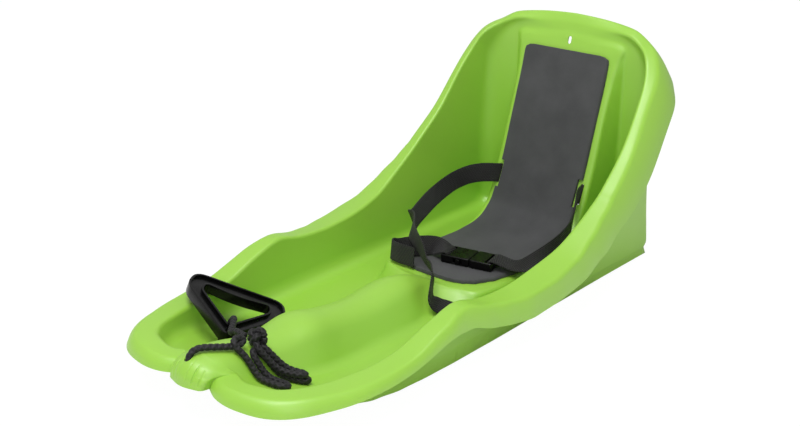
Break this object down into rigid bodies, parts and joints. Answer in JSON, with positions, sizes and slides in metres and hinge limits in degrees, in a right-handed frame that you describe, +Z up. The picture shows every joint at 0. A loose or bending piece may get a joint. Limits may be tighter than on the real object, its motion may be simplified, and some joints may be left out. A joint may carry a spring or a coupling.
{
  "type": "baby pull sled",
  "caption": "Moulded plastic pull sled for a small child, with raised backrest, foam seat pad, webbing lap belt with side release buckle, and tow rope with a pull handle",
  "frame": {"origin": "middle of the object's length and width, on the ground plane under the runners", "axes": "+Z up; -Y is the nose and +Y the backrest; +X is the child's left, the near side in the picture. The sled is mirror-symmetric about X = 0 but for its belt, rope and handle."},
  "size_m": [0.405, 0.8276, 0.3472],
  "materials": {
    "green_plastic": "smooth satin moulded polyethylene",
    "pad_foam": "matt closed-cell foam",
    "black_webbing": "woven",
    "black_plastic": "moulded, slightly glossy",
    "black_rope": "braided"
  },
  "bodies": {
    "sled": {"hull_shell": "green_plastic", "seat_pad": "pad_foam", "buckle_socket": "black_plastic", "buckle_plug": "black_plastic", "belt_left_side": "black_webbing", "belt_left_lap": "black_webbing", "belt_right_lap": "black_webbing", "belt_back_run": "black_webbing", "tow_rope_hank": "black_rope", "tow_rope_knot": "black_rope", "tow_rope_stopper_knot": "black_rope", "tow_rope_lead": "black_rope"},
    "prong_rear": {"buckle_prong_rear": "black_plastic"},
    "prong_front": {"buckle_prong_front": "black_plastic"},
    "handle": {"pull_handle": "black_plastic", "tow_rope_handle_loop": "black_rope"}
  },
  "joints": [
    {"name": "prong_rear_flex", "type": "hinge", "parent": "sled", "child": "prong_rear", "pos_m": [0.01933, 0.12401, 0.03684], "axis": [0, 0, 1], "range_deg": [0, 7], "stiffness_Nm_per_rad": 0.05},
    {"name": "prong_front_flex", "type": "hinge", "parent": "sled", "child": "prong_front", "pos_m": [0.02524, 0.09736, 0.03684], "axis": [0, 0, 1], "range_deg": [-7, 0], "stiffness_Nm_per_rad": 0.05},
    {"name": "handle_swing", "type": "hinge", "parent": "sled", "child": "handle", "pos_m": [0.00366, -0.31284, 0.07393], "axis": [0.7069, 0.6013, -0.3725], "range_deg": [0, 60]}
  ],
  "couplings": [
    {"joint": "prong_front_flex", "follows": "prong_rear_flex", "ratio": -1}
  ]
}
